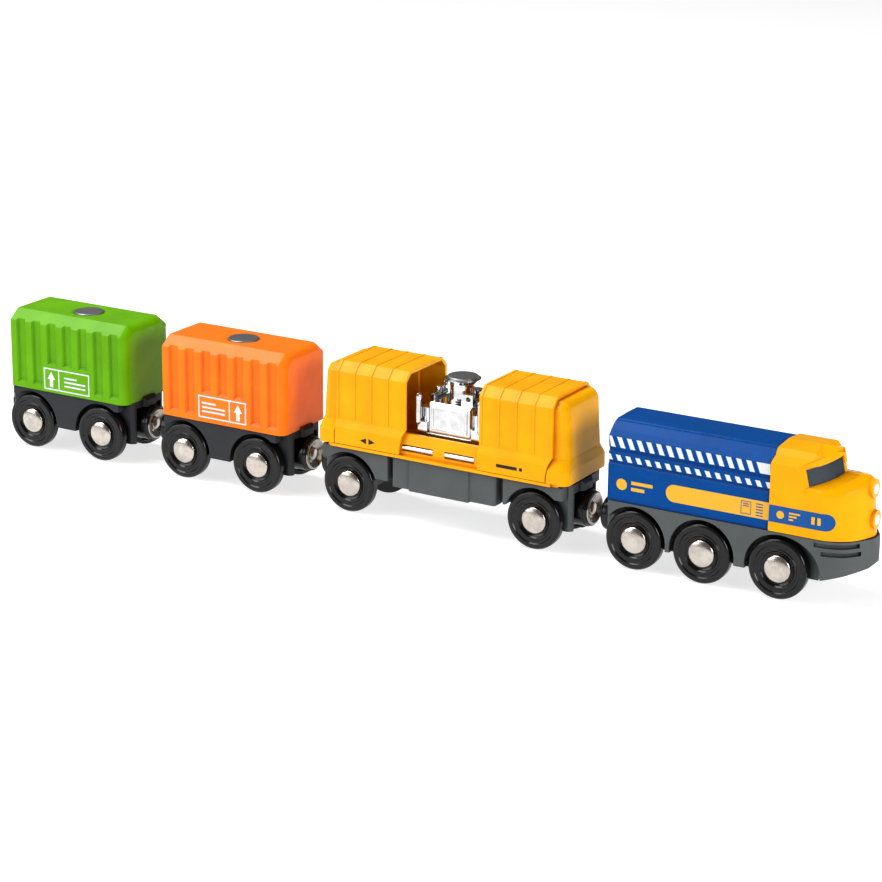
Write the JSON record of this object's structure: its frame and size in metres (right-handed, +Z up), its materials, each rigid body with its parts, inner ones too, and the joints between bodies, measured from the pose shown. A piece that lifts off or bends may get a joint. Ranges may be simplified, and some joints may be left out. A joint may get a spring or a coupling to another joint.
{
  "type": "electric train set",
  "caption": "Push-along toy freight train: locomotive, sliding-cover wagon with lift-out cargo and container wagons, magnet couplings, turning wheels.",
  "frame": {"origin": "bottom centre of the whole coupled train, at floor level under the wheel treads", "axes": "+X towards the locomotive's nose, +Y the train's left side, +Z up"},
  "size_m": [0.3598, 0.031, 0.0556],
  "materials": {
    "green_plastic": "satin moulded plastic",
    "orange_plastic": "satin moulded plastic",
    "yellow_plastic": "satin moulded plastic",
    "blue_plastic": "satin moulded plastic",
    "dark_grey_plastic": "fine matt moulding texture",
    "mid_grey_plastic": "fine matt moulding texture",
    "black_plastic": "glossy moulded plastic",
    "steel": "turned and polished",
    "magnet_plating": "bright nickel plating",
    "bright_plating": "vacuum plated plastic, mirror bright",
    "screen_black": "glossy dark inset",
    "lamp_lens": "glossy white lens"
  },
  "bodies": {
    "loco": {"loco_chassis": "mid_grey_plastic", "loco_body": "blue_plastic", "loco_cab": "yellow_plastic", "loco_windscreen": "screen_black", "loco_headlights": "lamp_lens"},
    "cover_wagon": {"cover_wagon_chassis": "mid_grey_plastic", "cover_wagon_deck": "yellow_plastic", "guide_bars": "bright_plating", "cover_wagon_rear_hood": "yellow_plastic", "cover_wagon_front_hood": "yellow_plastic"},
    "rear_cover_slider": {"rear_cover": "yellow_plastic"},
    "front_cover_slider": {"front_cover": "yellow_plastic"},
    "cargo_load": {"cargo": "bright_plating", "cargo_crane_disc": "steel"},
    "orange_wagon": {"orange_chassis": "dark_grey_plastic"},
    "orange_load": {"orange_container": "orange_plastic", "orange_crane_disc": "steel"},
    "green_wagon": {"green_chassis": "dark_grey_plastic"},
    "green_load": {"green_container": "green_plastic", "green_crane_disc": "steel"},
    "wheelset_green_rear": {"axle_green_rear": "steel", "wheels_green_rear": "black_plastic"},
    "wheelset_green_front": {"axle_green_front": "steel", "wheels_green_front": "black_plastic"},
    "wheelset_orange_rear": {"axle_orange_rear": "steel", "wheels_orange_rear": "black_plastic"},
    "wheelset_orange_front": {"axle_orange_front": "steel", "wheels_orange_front": "black_plastic"},
    "wheelset_cover_rear": {"axle_cover_rear": "steel", "wheels_cover_rear": "black_plastic"},
    "wheelset_cover_front": {"axle_cover_front": "steel", "wheels_cover_front": "black_plastic"},
    "wheelset_loco_rear": {"axle_loco_rear": "steel", "wheels_loco_rear": "black_plastic"},
    "wheelset_loco_middle": {"axle_loco_middle": "steel", "wheels_loco_middle": "black_plastic"},
    "wheelset_loco_front": {"axle_loco_front": "steel", "wheels_loco_front": "black_plastic"},
    "coupling_green_rear": {"housing_green_rear": "black_plastic", "magnet_green_rear": "magnet_plating", "rivet_green_rear": "steel"},
    "coupling_green_front": {"housing_green_front": "black_plastic", "magnet_green_front": "magnet_plating", "rivet_green_front": "steel"},
    "coupling_orange_rear": {"housing_orange_rear": "black_plastic", "magnet_orange_rear": "magnet_plating", "rivet_orange_rear": "steel"},
    "coupling_orange_front": {"housing_orange_front": "black_plastic", "magnet_orange_front": "magnet_plating", "rivet_orange_front": "steel"},
    "coupling_cover_rear": {"housing_cover_rear": "black_plastic", "magnet_cover_rear": "magnet_plating", "rivet_cover_rear": "steel"},
    "coupling_cover_front": {"housing_cover_front": "black_plastic", "magnet_cover_front": "magnet_plating", "rivet_cover_front": "steel"},
    "coupling_loco_rear": {"housing_loco_rear": "black_plastic", "magnet_loco_rear": "magnet_plating", "rivet_loco_rear": "steel"}
  },
  "joints": [
    {"name": "spin_loco_rear", "type": "hinge", "parent": "loco", "child": "wheelset_loco_rear", "pos_m": [0.09703, 0, 0.0105], "axis": [0, 1, 0], "continuous": true},
    {"name": "spin_loco_middle", "type": "hinge", "parent": "loco", "child": "wheelset_loco_middle", "pos_m": [0.12238, 0, 0.0105], "axis": [0, 1, 0], "continuous": true},
    {"name": "spin_loco_front", "type": "hinge", "parent": "loco", "child": "wheelset_loco_front", "pos_m": [0.15008, 0, 0.0105], "axis": [0, 1, 0], "continuous": true},
    {"name": "swivel_loco_rear", "type": "hinge", "parent": "loco", "child": "coupling_loco_rear", "pos_m": [0.08553, 0, 0.0139], "axis": [0, 0, 1], "range_deg": [-20, 20]},
    {"name": "uncouple_loco", "type": "slide", "parent": "coupling_loco_rear", "child": "coupling_cover_front", "axis": [-1, 0, 0], "range_m": [-0.0045, 0.06]},
    {"name": "swivel_cover_front", "type": "hinge", "parent": "coupling_cover_front", "child": "cover_wagon", "pos_m": [0.06993, 0, 0.0139], "axis": [0, 0, 1], "range_deg": [-20, 20]},
    {"name": "spin_cover_rear", "type": "hinge", "parent": "cover_wagon", "child": "wheelset_cover_rear", "pos_m": [-0.01738, 0, 0.0105], "axis": [0, 1, 0], "continuous": true},
    {"name": "spin_cover_front", "type": "hinge", "parent": "cover_wagon", "child": "wheelset_cover_front", "pos_m": [0.05842, 0, 0.0105], "axis": [0, 1, 0], "continuous": true},
    {"name": "slide_rear_cover", "type": "slide", "parent": "cover_wagon", "child": "rear_cover_slider", "axis": [1, 0, 0], "range_m": [0, 0.0149]},
    {"name": "slide_front_cover", "type": "slide", "parent": "cover_wagon", "child": "front_cover_slider", "axis": [-1, 0, 0], "range_m": [0, 0.0149]},
    {"name": "lift_cargo", "type": "slide", "parent": "cover_wagon", "child": "cargo_load", "axis": [0, 0, 1], "range_m": [0, 0.05]},
    {"name": "swivel_cover_rear", "type": "hinge", "parent": "cover_wagon", "child": "coupling_cover_rear", "pos_m": [-0.02888, 0, 0.0139], "axis": [0, 0, 1], "range_deg": [-20, 20]},
    {"name": "uncouple_orange", "type": "slide", "parent": "coupling_cover_rear", "child": "coupling_orange_front", "axis": [-1, 0, 0], "range_m": [-0.0059, 0.06]},
    {"name": "swivel_orange_front", "type": "hinge", "parent": "coupling_orange_front", "child": "orange_wagon", "pos_m": [-0.04587, 0, 0.0139], "axis": [0, 0, 1], "range_deg": [-20, 20]},
    {"name": "spin_orange_rear", "type": "hinge", "parent": "orange_wagon", "child": "wheelset_orange_rear", "pos_m": [-0.09012, 0, 0.0105], "axis": [0, 1, 0], "continuous": true},
    {"name": "spin_orange_front", "type": "hinge", "parent": "orange_wagon", "child": "wheelset_orange_front", "pos_m": [-0.05738, 0, 0.0105], "axis": [0, 1, 0], "continuous": true},
    {"name": "lift_orange_container", "type": "slide", "parent": "orange_wagon", "child": "orange_load", "axis": [0, 0, 1], "range_m": [0, 0.05]},
    {"name": "swivel_orange_rear", "type": "hinge", "parent": "orange_wagon", "child": "coupling_orange_rear", "pos_m": [-0.10162, 0, 0.0139], "axis": [0, 0, 1], "range_deg": [-20, 20]},
    {"name": "uncouple_green", "type": "slide", "parent": "coupling_orange_rear", "child": "coupling_green_front", "axis": [-1, 0, 0], "range_m": [-0.0045, 0.06]},
    {"name": "swivel_green_front", "type": "hinge", "parent": "coupling_green_front", "child": "green_wagon", "pos_m": [-0.11728, 0, 0.0139], "axis": [0, 0, 1], "range_deg": [-20, 20]},
    {"name": "spin_green_rear", "type": "hinge", "parent": "green_wagon", "child": "wheelset_green_rear", "pos_m": [-0.16153, 0, 0.0105], "axis": [0, 1, 0], "continuous": true},
    {"name": "spin_green_front", "type": "hinge", "parent": "green_wagon", "child": "wheelset_green_front", "pos_m": [-0.12878, 0, 0.0105], "axis": [0, 1, 0], "continuous": true},
    {"name": "lift_green_container", "type": "slide", "parent": "green_wagon", "child": "green_load", "axis": [0, 0, 1], "range_m": [0, 0.05]},
    {"name": "swivel_green_rear", "type": "hinge", "parent": "green_wagon", "child": "coupling_green_rear", "pos_m": [-0.17303, 0, 0.0139], "axis": [0, 0, 1], "range_deg": [-38, 2]}
  ]
}
